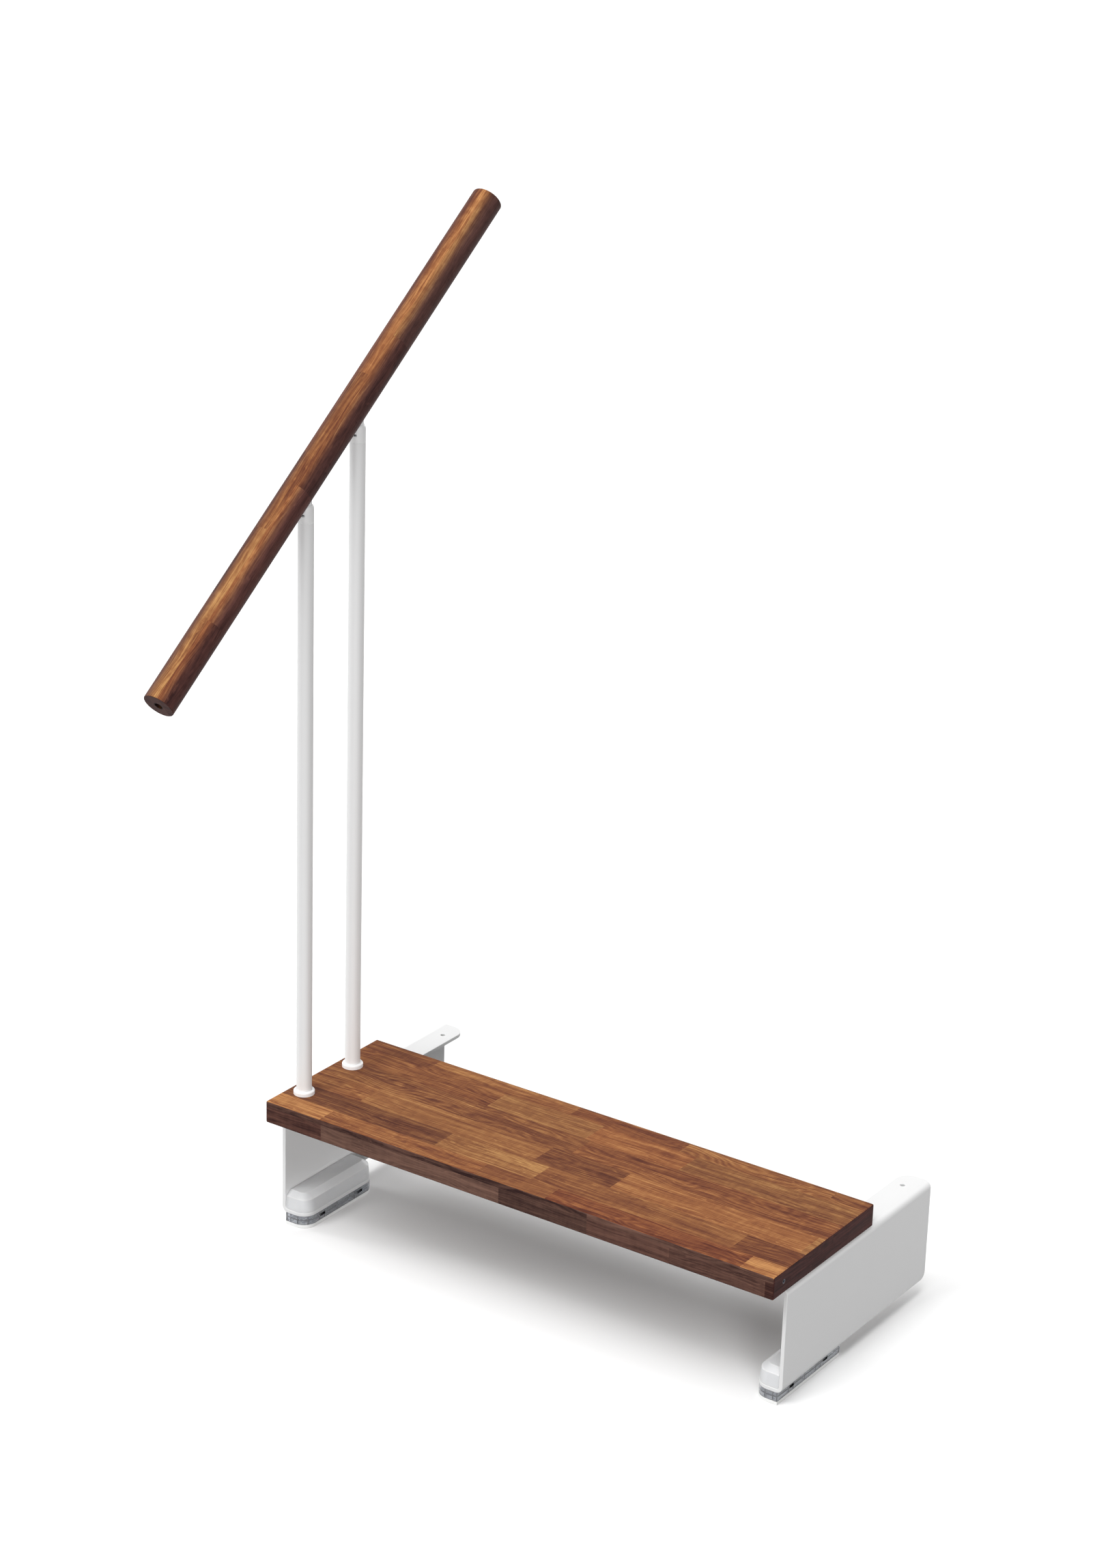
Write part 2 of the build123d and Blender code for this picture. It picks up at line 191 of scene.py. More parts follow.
# The lamps: name, azimuth, elevation and spread in degrees, and strength.
LAMPS = (
    ("low_back_lamp", -180, 10, 20, 1.23),
    ("low_left_lamp", -80, 10, 20, 1.67),
    ("low_right_lamp", 40, 10, 20, 1.56),
    ("front_lamp", -20, 50, 24, 0.92),
    ("high_front_left_lamp", -20, 65, 24, 0.28),
    ("high_front_right_lamp", 20, 65, 24, 0.74),
    ("high_left_lamp", -120, 80, 20, 0.27),
    ("high_right_lamp", 60, 80, 20, 0.47),
)


def srgb(red, green, blue):
    """A screen colour, 0 to 255, as linear light."""
    values = []
    for value in (red, green, blue):
        part = value / 255
        values.append(part / 12.92 if part <= 0.04045 else ((part + 0.055) / 1.055) ** 2.4)
    return tuple(values)


def colour_property(name, description, default):
    """A colour that the user can change."""
    return FloatVectorProperty(
        name=name, description=description, default=default, subtype="COLOR", min=0.0, max=1.0
    )


def length_property(name, description, default, smallest, precision=5):
    """A length that the user can change, in metres."""
    return FloatProperty(
        name=name, description=description, default=default, min=smallest, unit="LENGTH",
        precision=precision
    )


def angle_property(name, description, degrees):
    """An angle that the user can change."""
    return FloatProperty(
        name=name, description=description, default=math.radians(degrees), subtype="ANGLE"
    )


class ExtensionStepColours(bpy.types.PropertyGroup):
    """Colours of the finishes."""

    stave_dark: colour_property("Dark wood", "Darkest lines of the wood", srgb(76, 39, 30))
    stave_brown: colour_property("Brown wood", "Dark staves", srgb(109, 64, 44))
    stave_middle: colour_property("Middle wood", "Usual staves", srgb(143, 93, 58))
    stave_light: colour_property("Light wood", "Palest lines of the wood", srgb(197, 147, 93))
    edge_dark: colour_property("Dark edge", "Darkest wood on the tread's sides", srgb(48, 30, 29))
    edge_light: colour_property("Light edge", "Palest wood on the tread's sides", srgb(126, 92, 80))
    # The rail's flank colours are painted shade: a darker copy of its wood for where its surface
    # faces away from the light.
    rail_shade_dark: colour_property("Dark flank", "Darkest wood on the rail's sides", srgb(42, 27, 28))
    rail_shade_light: colour_property(
        "Light flank", "Palest wood on the rail's sides", srgb(100, 68, 63)
    )
    coat: colour_property("Powder coat", "Brackets", (0.8, 0.8, 0.8))
    tube_coat: colour_property("Tube coat", "Balusters", (0.81, 0.81, 0.81))
    moulding: colour_property("White plastic", "Collars and caps", (0.86, 0.86, 0.86))
    pad: colour_property("Pad plastic", "Base pads of the feet", (0.98, 0.98, 0.97))
    frosted: colour_property("Frosted plastic", "Foot covers", (0.89, 0.9, 0.92))
    smoke: colour_property("Smoke plastic", "Foot spacers", (0.7, 0.72, 0.76))
    zinc: colour_property("Zinc", "Fasteners", (0.6, 0.61, 0.63))
    # The insert's zinc is darkened to near black: painted shade that stands for the shadow in its
    # threaded hole.
    insert_shade_zinc: colour_property("Dull zinc", "Insert in the tread's end", (0.06, 0.06, 0.07))


class ExtensionStepThreads(bpy.types.PropertyGroup):
    """Sizes of the screw threads."""

    stud_pitch: length_property(
        "Stud pitch", "Rise of a stud's thread in one turn", 1.25 * MM, 0.5 * MM
    )
    stud_depth: length_property(
        "Stud depth", "From a stud's crest to its root", 0.65 * MM, 0.1 * MM
    )
    lead_in: length_property("Lead-in", "Length of a stud's tapered tip", 0.9 * MM, 0.1 * MM)
    insert_pitch: length_property(
        "Insert pitch", "Rise of the insert's thread in one turn", 0.7 * MM, 0.3 * MM
    )
    insert_depth: length_property(
        "Insert depth", "From the insert's root to its crest", 0.35 * MM, 0.1 * MM
    )
    insert_bore: length_property(
        "Insert bore", "Radius of the insert's bore", 1.8 * MM, 0.5 * MM
    )
    insert_rim: length_property(
        "Insert rim", "Width of the slope round the insert's mouth", 0.5 * MM, 0.1 * MM
    )
    steps: IntProperty(name="Steps", description="Faces in one turn of a thread", default=28, min=8)


class ExtensionStepStage(bpy.types.PropertyGroup):
    """Floor, lamps and camera."""

    floor_size: length_property("Floor", "Length of the floor's side", 24.0, 4.0, 2)
    sky: FloatProperty(name="Sky", description="Light from all round", default=0.2, min=0.0)
    lamps: FloatProperty(
        name="Lamps", description="Strength of all the lamps together", default=1.0, min=0.0
    )
    lens: length_property("Lens", "Focal length", 82.39 * MM, 20.0 * MM)
    distance: length_property("Distance", "From the camera to what it aims at", 4.2835, 0.5, 4)
    azimuth: angle_property("Azimuth", "Camera's place round the step", 34.037)
    elevation: angle_property("Elevation", "Camera's height angle", 21.157)
    roll: angle_property("Roll", "Turn about the line of sight", 1.705)
    aim: FloatVectorProperty(
        name="Aim", description="Point that the camera looks at", default=(-0.01316, 0.0, 0.68418),
        subtype="XYZ", unit="LENGTH"
    )


def put(tree, kind, settings=None, **inputs):
    """Adds a node, sets its settings, and fills or links its inputs. They are named with _ for a
    space, or numbered, as in i0."""
    node = tree.nodes.new(kind)
    for name, value in (settings or {}).items():
        setattr(node, name, value)
    for name, value in inputs.items():
        key = int(name[1:]) if name[0] == "i" and name[1:].isdigit() else name.replace("_", " ")
        connect(tree, value, node.inputs[key])
    return node


def connect(tree, value, socket):
    """Links a socket's value, or sets a plain one."""
    if isinstance(value, bpy.types.NodeSocket):
        tree.links.new(value, socket)
    else:
        socket.default_value = value


def calc(tree, operation, *values, clamp=False):
    """A Math node's result."""
    node = put(tree, "ShaderNodeMath", {"operation": operation, "use_clamp": clamp})
    for value, socket in zip(values, node.inputs):
        connect(tree, value, socket)
    return node.outputs[0]


def mixed(tree, factor, first, second, kind="RGBA", blend="MIX"):
    """A Mix node's result, of colours or of plain numbers. It has sockets of its own for each."""
    node = tree.nodes.new("ShaderNodeMix")
    node.data_type = kind
    if kind == "RGBA":
        node.blend_type = blend
    first_input, second_input, output = {"FLOAT": (2, 3, 0), "RGBA": (6, 7, 2)}[kind]
    connect(tree, factor, node.inputs[0])
    connect(tree, first, node.inputs[first_input])
    connect(tree, second, node.inputs[second_input])
    return node.outputs[output]


def multiplied(tree, colour, tint):
    """A colour times another."""
    return mixed(tree, 1.0, colour, tint, blend="MULTIPLY")


def joined(tree, x, y, z):
    """Three numbers as a vector."""
    return put(tree, "ShaderNodeCombineXYZ", X=x, Y=y, Z=z).outputs[0]


def split(tree, vector):
    """A vector as three numbers."""
    return put(tree, "ShaderNodeSeparateXYZ", Vector=vector).outputs


def ramp(tree, factor, stops, interpolation="LINEAR"):
    """A colour ramp's result for stops of place and colour."""
    node = put(tree, "ShaderNodeValToRGB", Fac=factor)
    band = node.color_ramp
    band.interpolation = interpolation
    while len(band.elements) < len(stops):
        band.elements.new(0.5)
    for element, (place, colour) in zip(band.elements, stops):
        element.position = place
        element.color = (*colour, 1.0)
    return node.outputs[0]


def noise(tree, vector, scale, detail=2.0, roughness=0.5):
    """Noise of a vector, from 0 to 1."""
    node = put(
        tree, "ShaderNodeTexNoise", Vector=vector, Scale=scale, Detail=detail, Roughness=roughness
    )
    return node.outputs["Fac"]


def object_place(tree):
    """The place on the object, in mm."""
    place = put(tree, "ShaderNodeTexCoord").outputs["Object"]
    node = put(tree, "ShaderNodeVectorMath", {"operation": "SCALE"}, Vector=place, Scale=1.0 / MM)
    return node.outputs[0]


def new_material(name):
    """A material with one principled shader. Gives the material, its node tree and the shader."""
    material = bpy.data.materials.new(name)
    material.use_nodes = True
    tree = material.node_tree
    return material, tree, tree.nodes["Principled BSDF"]


def wear(names, material):
    """Gives CAD nodes a material in their own slots."""
    for name in names:
        for slot in nodes[name].material_slots:
            slot.material = material


def shade(colour, factor=1.0):
    """A colour made lighter or darker, with full cover."""
    return (*[min(1.0, part * factor) for part in colour], 1.0)


def textured(tree, shader, texture, roughness, spread, strength, relief):
    """Roughness that the texture adds its spread to, and the texture's relief, in mm."""
    rough = calc(tree, "MULTIPLY_ADD", texture, spread, roughness)
    connect(tree, rough, shader.inputs["Roughness"])
    raised(tree, shader, texture, strength, relief)


def raised(tree, shader, height, strength, relief):
    """The relief of a height from 0 to 1, in mm."""
    bump = put(tree, "ShaderNodeBump", Strength=strength, Distance=relief * MM, Height=height)
    connect(tree, bump.outputs[0], shader.inputs["Normal"])


def stave_map(tree, rows, along, across, half, seed):
    """The lightness and two random numbers of the stave at a place: rows of ramps along the wood,
    half its length each way from its middle, chosen by the place across it."""
    chooser = random.Random(seed)
    span = 2 * half
    place = calc(tree, "DIVIDE", calc(tree, "ADD", along, half), span, clamp=True)
    result = None
    for start, staves in rows:
        stops = [
            ((x + half) / span, (tone, chooser.random(), chooser.random())) for x, tone in staves
        ]
        row = ramp(tree, place, stops, "CONSTANT")
        past = calc(tree, "GREATER_THAN", across, start)
        result = row if result is None else mixed(tree, past, result, row)
    return result


def grain(tree, along, across, depth, length, width, detail, roughness=0.5):
    """Noise round 0, drawn out along the wood: its features are about so long and wide, in mm."""
    drawn_along = calc(tree, "DIVIDE", along, length)
    drawn_across = calc(tree, "DIVIDE", across, width)
    place = joined(tree, drawn_along, drawn_across, depth)
    return calc(tree, "SUBTRACT", noise(tree, place, 1.0, detail, roughness), 0.5)


def peaks(tree, value, above, steepness):
    """Only the peaks of a noise, from 0 to 1."""
    return calc(tree, "MULTIPLY", calc(tree, "SUBTRACT", value, above), steepness, clamp=True)


def wood_pattern(tree, along, across, depth, tone, seed, figure):
    """Lightness of the wood at a place in mm, its pores' depth and its fibres, each from 0 to 1. The
    lightness has bands, streaks and fibres, flecks in patches, arches, lines and pores."""
    along = calc(tree, "MULTIPLY_ADD", seed, STAVE_ALONG, along)
    depth = calc(tree, "MULTIPLY_ADD", seed, STAVE_DEEP, depth)
    sway = grain(tree, along, across, depth, length=110.0, width=30.0, detail=1.0)
    bent = calc(tree, "MULTIPLY_ADD", sway, SWAY_REACH, across)
    bands = grain(tree, along, bent, depth, length=190.0, width=10.0, detail=2.0)
    streaks = grain(tree, along, bent, depth, length=80.0, width=2.6, detail=4.0, roughness=0.7)
    fibres = grain(tree, along, bent, depth, length=24.0, width=0.8, detail=3.0, roughness=0.65)
    cross_bands = grain(tree, along, across, depth, length=6.0, width=22.0, detail=2.0)
    patches = grain(tree, along, across, depth, length=70.0, width=14.0, detail=1.0)
    patches = peaks(tree, patches, above=0.08, steepness=9.0)
    flecks = grain(tree, along, bent, depth, length=9.0, width=3.0, detail=2.0)
    flecks = peaks(tree, flecks, above=0.06, steepness=7.0)
    flecks = calc(tree, "MULTIPLY", patches, calc(tree, "SUBTRACT", flecks, FLECK_MIDDLE))
    waves = calc(tree, "MULTIPLY", calc(tree, "MULTIPLY_ADD", sway, ARCH_REACH, across), ARCH_TURN)
    arches = calc(tree, "MULTIPLY", calc(tree, "SINE", waves), figure)
    dark_lines = grain(tree, along, bent, depth, length=55.0, width=0.9, detail=1.0)
    dark_lines = peaks(tree, dark_lines, above=0.12, steepness=6.0)
    deeper = calc(tree, "ADD", depth, PALE_LINES_DEEPER)
    pale_lines = grain(tree, along, bent, deeper, length=75.0, width=1.4, detail=1.0)
    pale_lines = peaks(tree, pale_lines, above=0.13, steepness=6.0)
    pores = grain(tree, along, across, depth, length=8.0, width=0.4, detail=1.0)
    pores = peaks(tree, pores, above=0.12, steepness=9.0)
    shares = (
        (bands, 0.5),
        (streaks, 0.85),
        (fibres, 0.6),
        (cross_bands, 0.2),
        (flecks, 0.24),
        (arches, 1.0),
        (dark_lines, -0.23),
        (pale_lines, 0.27),
        (pores, -0.12),
    )
    lightness = tone
    for feature, share in shares:
        lightness = calc(tree, "MULTIPLY_ADD", feature, share, lightness)
    return lightness, pores, calc(tree, "ADD", fibres, 0.5)


def wood_colour(tree, lightness, stops, stave):
    """The wood's colour for a lightness, a little redder or yellower from stave to stave."""
    colour = ramp(tree, lightness, stops)
    tint = mixed(tree, stave, REDDER, YELLOWER)
    return multiplied(tree, colour, tint)


def lacquered(tree, shader, colour, pores, fibres):
    """Joins a wood's colour and grain to its satin lacquer, which is duller in the pores."""
    connect(tree, colour, shader.inputs["Base Color"])
    rough = calc(tree, "MULTIPLY_ADD", fibres, FIBRE_ROUGHNESS, LACQUER_ROUGHNESS)
    rough = calc(tree, "MULTIPLY_ADD", pores, PORE_ROUGHNESS, rough)
    connect(tree, rough, shader.inputs["Roughness"])
    height = calc(tree, "MULTIPLY_ADD", pores, -1.0, calc(tree, "MULTIPLY", fibres, FIBRE_HEIGHT))
    raised(tree, shader, height, strength=0.35, relief=0.12)
    shader.inputs["Specular IOR Level"].default_value = LACQUER_SPECULAR


def stave_stops(colours):
    """The wood's colours on top, from dark to light."""
    return (
        (0.1, colours.stave_dark),
        (0.33, colours.stave_brown),
        (0.56, colours.stave_middle),
        (0.92, colours.stave_light),
    )


def side_stops(dark, light):
    """The wood's colours on its sides, from dark to light."""
    return ((0.1, dark), (0.9, light))


def tread_wood(colours):
    """Glued staves along the tread: rows across the top, narrower layers on its edges and ends."""
    material, tree, shader = new_material("tread_wood_staves")
    x, y, z = split(tree, object_place(tree))
    normal = split(tree, put(tree, "ShaderNodeTexCoord").outputs["Normal"])
    on_end = calc(tree, "GREATER_THAN", calc(tree, "ABSOLUTE", normal[0]), TREAD_TURN)
    on_edge = calc(tree, "GREATER_THAN", calc(tree, "ABSOLUTE", normal[1]), TREAD_TURN)
    half_length = (tread_high.x - tread_low.x) / 2 / MM
    half_depth = (tread_high.y - tread_low.y) / 2 / MM
    back = calc(tree, "SUBTRACT", y, tread_low.y / MM)
    down = calc(tree, "SUBTRACT", tread_high.z / MM, z)
    middle = calc(tree, "SUBTRACT", back, half_depth)
    top = stave_map(tree, TOP_ROWS, x, back, half_length, seed=3)
    edge = stave_map(tree, EDGE_ROWS, x, down, half_length, seed=5)
    end = stave_map(tree, END_ROWS, middle, down, half_depth, seed=8)
    along = mixed(tree, on_end, x, middle, "FLOAT")
    side = mixed(tree, on_edge, on_end, 1.0, "FLOAT")
    across = mixed(tree, side, back, down, "FLOAT")
    stave = split(tree, mixed(tree, on_end, mixed(tree, on_edge, top, edge), end))
    inward = calc(tree, "MULTIPLY", mixed(tree, side, down, 0.0, "FLOAT"), TREAD_DEPTH)
    figure = calc(tree, "MULTIPLY", stave[2], TREAD_FIGURE)
    lightness, pores, fibres = wood_pattern(
        tree, along, across, inward, stave[0], stave[1], figure
    )
    on_top = wood_colour(tree, lightness, stave_stops(colours), stave[1])
    sides = side_stops(colours.edge_dark, colours.edge_light)
    on_side = wood_colour(tree, lightness, sides, stave[1])
    darkening = mixed(tree, on_end, WHITE, END_TINT)
    on_side = multiplied(tree, on_side, darkening)
    lacquered(tree, shader, mixed(tree, side, on_top, on_side), pores, fibres)
    return material


def rail_wood(colours):
    """Staves along the handrail, glued side by side and cut round. Its flanks, its underside and its
    lower end are painted in a darker copy of the wood as painted shade, with a painted highlight
    along its top, and its bores are painted near black as painted shade."""
    material, tree, shader = new_material("rail_wood_staves")
    slope = rail_slope()
    axis = (0.0, math.cos(slope), math.sin(slope))
    coordinate = put(tree, "ShaderNodeTexCoord").outputs
    turned = put(
        tree, "ShaderNodeMapping", {"vector_type": "TEXTURE"}, Vector=coordinate["Object"],
        Location=(rail_low + rail_high) / 2, Rotation=(slope, 0.0, 0.0), Scale=(MM, MM, MM)
    ).outputs[0]
    x, along, up = split(tree, turned)
    normal = coordinate["Normal"]
    facing = put(tree, "ShaderNodeVectorMath", {"operation": "DOT_PRODUCT"}, i0=normal, i1=axis)
    endwise = calc(tree, "ABSOLUTE", facing.outputs["Value"])
    on_end = calc(tree, "GREATER_THAN", endwise, RAIL_TURN)
    stave = split(tree, stave_map(tree, RAIL_ROWS, along, x, RAIL_HALF, seed=12))
    lengthwise = mixed(tree, on_end, along, x, "FLOAT")
    crosswise = mixed(tree, on_end, x, up, "FLOAT")
    inward = mixed(tree, on_end, calc(tree, "MULTIPLY", up, RAIL_DEPTH), 0.0, "FLOAT")
    figure = calc(tree, "MULTIPLY", stave[2], RAIL_FIGURE)
    lightness, pores, fibres = wood_pattern(
        tree, lengthwise, crosswise, inward, stave[0], stave[1], figure
    )
    # Painted light and shade: lightest on top as a painted highlight, turning to the darker copy on
    # the flanks and underside.
    faces = split(tree, normal)
    sideways = calc(tree, "MULTIPLY_ADD", faces[0], 0.5, 0.5)
    painted_lit = ramp(tree, sideways, [(side, (share,) * 3) for side, share in RAIL_PAINTED_LIGHT])
    upward = calc(tree, "MULTIPLY_ADD", faces[2], PAINTED_LIGHT_FADE, PAINTED_LIGHT_AT_SIDES, clamp=True)
    painted_lit = calc(tree, "MULTIPLY", split(tree, painted_lit)[0], upward)
    flanks = side_stops(colours.rail_shade_dark, colours.rail_shade_light)
    shaded_flank = wood_colour(tree, lightness, flanks, stave[1])
    on_top = wood_colour(tree, lightness, stave_stops(colours), stave[1])
    colour = mixed(tree, painted_lit, shaded_flank, on_top)
    beside = joined(tree, x, 0.0, up)
    from_axis = put(tree, "ShaderNodeVectorMath", {"operation": "LENGTH"}, i0=beside)
    # The bores are painted near black: painted shade in the holes.
    in_bore = calc(tree, "LESS_THAN", from_axis.outputs["Value"], RAIL_BORE)
    darkening = mixed(tree, in_bore, WHITE, BORE_PAINTED_SHADE)
    lacquered(tree, shader, multiplied(tree, colour, darkening), pores, fibres)
    return material


def rail_slope():
    """The handrail's angle, from its box: its ends reach beyond its axis by its radius, turned.
    Each round starts from the last one's angle."""
    radius = (rail_high.x - rail_low.x) / 2
    run = rail_high.y - rail_low.y
    rise = rail_high.z - rail_low.z
    slope = math.atan2(rise, run)
    for _ in range(SLOPE_ROUNDS):
        slope = math.atan2(rise - 2 * radius * math.cos(slope), run - 2 * radius * math.sin(slope))
    return slope


def powder_coat(name, colour):
    """Fine orange peel on steel, a little uneven in colour."""
    material, tree, shader = new_material(name)
    place = object_place(tree)
    peel = noise(tree, place, scale=0.9)
    cloud = calc(tree, "MULTIPLY", noise(tree, place, scale=0.02), COAT_CLOUD)
    tint = mixed(tree, cloud, shade(colour), shade(colour, factor=0.965))
    connect(tree, tint, shader.inputs["Base Color"])
    textured(tree, shader, peel, roughness=0.38, spread=0.12, strength=0.25, relief=0.08)
    return material


def moulded(name, colour, roughness, fineness):
    """Plain moulded plastic with a fine spark-eroded grain."""
    material, tree, shader = new_material(name)
    place = object_place(tree)
    texture = noise(tree, place, scale=fineness)
    cloud = calc(tree, "MULTIPLY", noise(tree, place, scale=0.05), PLASTIC_CLOUD)
    tint = mixed(tree, cloud, shade(colour), shade(colour, factor=0.97))
    connect(tree, tint, shader.inputs["Base Color"])
    textured(tree, shader, texture, roughness, spread=0.12, strength=0.3, relief=0.06)
    return material


def clear_plastic(name, colour, roughness, clearness, fineness, light_painting):
    """Clear or frosted plastic that lets what is behind it show. The light painting is a function
    that paints highlights and shade into its colour where the moulding's shape gives them."""
    material, tree, shader = new_material(name)
    place = object_place(tree)
    texture = noise(tree, place, scale=fineness, detail=3.0)
    cloud = noise(tree, place, scale=0.06, detail=3.0)
    tint = mixed(tree, cloud, shade(colour), shade(colour, factor=1.12))
    connect(tree, light_painting(tree, place, tint), shader.inputs["Base Color"])
    textured(tree, shader, texture, roughness, spread=0.15, strength=0.3, relief=0.08)
    shader.inputs["Transmission Weight"].default_value = clearness
    shader.inputs["IOR"].default_value = 1.45
    return material


def within(tree, value, span):
    """1 where a value lies between the two numbers of a span, otherwise 0."""
    above = calc(tree, "GREATER_THAN", value, span[0])
    return calc(tree, "MULTIPLY", above, calc(tree, "LESS_THAN", value, span[1]))


def distance_from(tree, value, middle):
    """How far a value is from a number, either way."""
    return calc(tree, "ABSOLUTE", calc(tree, "SUBTRACT", value, middle))


def painted_shade_box(tree, depth, depths, height, heights, beside, half):
    """1 in a box that reaches half its length each way from a window's middle, otherwise 0."""
    inside = calc(tree, "MULTIPLY", within(tree, depth, depths), within(tree, height, heights))
    return calc(tree, "MULTIPLY", inside, calc(tree, "LESS_THAN", beside, half))


def spacer_shade_and_glints(tree, place, tint):
    """Painted highlights and painted shade on the spacers: pale specks that stand for glints off
    their ribs, and near black on their small windows' edges and on the web behind them, painted
    shade inside the windows. The spacers mirror each other, so the right one's box does for both."""
    low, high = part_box("foot_spacer_right")
    middle = (low + high) / 2 / MM
    half = (high - low) / 2 / MM
    x, y, z = split(tree, place)
    aside = distance_from(tree, calc(tree, "ABSOLUTE", x), middle.x)
    depth = calc(tree, "SUBTRACT", half.x, aside)
    along = distance_from(tree, y, middle.y)
    beside = distance_from(tree, along, half.y - WINDOW_FROM_END)
    edges = painted_shade_box(tree, depth, WINDOW_DEPTHS, z, WINDOW_HEIGHTS, beside, WINDOW_HALF)
    web = painted_shade_box(tree, depth, WEB_DEPTHS, z, WEB_HEIGHTS, beside, WEB_HALF)
    # Painted highlights: pale specks that stand for glints off the ribs.
    specks = calc(tree, "SUBTRACT", noise(tree, place, scale=0.3), 0.5)
    specks = peaks(tree, specks, above=0.07, steepness=14.0)
    tint = mixed(tree, calc(tree, "MULTIPLY", specks, PAINTED_GLINT_SHARE), tint, WHITE)
    # Painted shade: the window's edges and the web behind it are painted near black.
    return mixed(tree, calc(tree, "MAXIMUM", edges, web), tint, WINDOW_PAINTED_SHADE)


def crease_painted_highlights(tree, place, tint):
    """Painted highlights: pale lines painted along the covers' waist and rim."""
    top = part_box("foot_cover_right")[1].z / MM
    level = split(tree, place)[2]
    waist = calc(tree, "LESS_THAN", distance_from(tree, level, top - WAIST_DOWN), WAIST_HALF)
    rim = within(tree, level, (top - RIM_DOWN[0], top - RIM_DOWN[1]))
    highlight_lines = calc(tree, "MAXIMUM", waist, calc(tree, "MULTIPLY", rim, RIM_HIGHLIGHT_SHARE))
    return mixed(tree, highlight_lines, tint, WHITE)


def zinc_plate(name, colour):
    """Zinc plate with small uneven spots."""
    material, tree, shader = new_material(name)
    spots = noise(tree, object_place(tree), scale=0.35, detail=4.0, roughness=0.65)
    tint = mixed(tree, spots, shade(colour, factor=0.78), shade(colour, factor=1.2))
    connect(tree, tint, shader.inputs["Base Color"])
    shader.inputs["Metallic"].default_value = 1.0
    rough = calc(tree, "MULTIPLY_ADD", spots, SPOT_ROUGHNESS, ZINC_ROUGHNESS)
    connect(tree, rough, shader.inputs["Roughness"])
    return material


def deselect():
    """Leaves no object selected, because the loaded nodes come selected."""
    bpy.ops.object.select_all(action="DESELECT")


def choose(test):
    """In edit mode, selects the points whose place passes a test, and the faces between them."""
    mesh = bpy.context.object.data
    bpy.ops.mesh.select_mode(type="VERT")
    bpy.ops.mesh.select_all(action="DESELECT")
    bpy.ops.object.mode_set(mode="OBJECT")
    for vertex in mesh.vertices:
        vertex.select = bool(test(vertex.co))
    bpy.ops.object.mode_set(mode="EDIT")


def finish_piece(name, material, stands_for):
    """Checks a modelled piece, turns its faces outward, and gives it name, body and material."""
    piece = bpy.context.object
    bpy.ops.mesh.select_all(action="SELECT")
    bpy.ops.mesh.normals_make_consistent(inside=False)
    bpy.ops.object.mode_set(mode="OBJECT")
    if not piece.data.polygons:
        raise RuntimeError(f"{name} has no faces")
    bpy.ops.object.shade_smooth_by_angle(angle=SMOOTH_BELOW)
    piece.name = name
    piece.data.materials.clear()
    piece.data.materials.append(material)
    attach(piece, "root")
    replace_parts(piece, stands_for)
    return piece


def helix(root, depth, pitch, low, high, steps):
    """A screw thread about the Z axis between two heights, in edit mode. The upright edge of a
    plane, one pitch long, has its middle moved out by the thread's depth and is then wound up."""
    edge_middle = low - pitch / 2
    crest_middle = low - 3 * pitch / 8
    crest_reach = pitch / 5
    join_within = pitch / 100
    deselect()
    bpy.ops.mesh.primitive_plane_add(
        size=pitch, location=(root - pitch / 2, 0.0, edge_middle), rotation=(math.pi / 2, 0.0, 0.0)
    )
    bpy.ops.object.transform_apply(location=True, rotation=True, scale=True)
    bpy.ops.object.mode_set(mode="EDIT")
    choose(lambda place: place.x < root - pitch / 2)
    bpy.ops.mesh.delete(type="VERT")
    bpy.ops.mesh.select_all(action="SELECT")
    bpy.ops.mesh.subdivide(number_cuts=3)
    choose(lambda place: abs(place.z - crest_middle) < crest_reach)
    bpy.ops.transform.translate(value=(depth, 0.0, 0.0))
    bpy.ops.object.mode_set(mode="OBJECT")
    turns = bpy.context.object.modifiers.new("wind", "SCREW")
    turns.axis = "Z"
    turns.screw_offset = pitch
    turns.iterations = math.ceil((high - low) / pitch) + 1
    turns.steps = steps
    turns.render_steps = steps
    turns.use_merge_vertices = True
    turns.merge_threshold = join_within
    bpy.ops.object.modifier_apply(modifier="wind")
    bpy.ops.object.mode_set(mode="EDIT")
    bpy.ops.mesh.select_all(action="SELECT")
    bpy.ops.mesh.remove_doubles(threshold=join_within)


def trim(height, above, fill=True):
    """Cuts the piece in edit mode level at a height, takes away what is above or below it, and
    closes the cut unless fill is off."""
    bpy.ops.mesh.select_all(action="SELECT")
    bpy.ops.mesh.bisect(
        plane_co=(0.0, 0.0, height), plane_no=(0.0, 0.0, 1.0), use_fill=fill, clear_outer=above,
        clear_inner=not above
    )


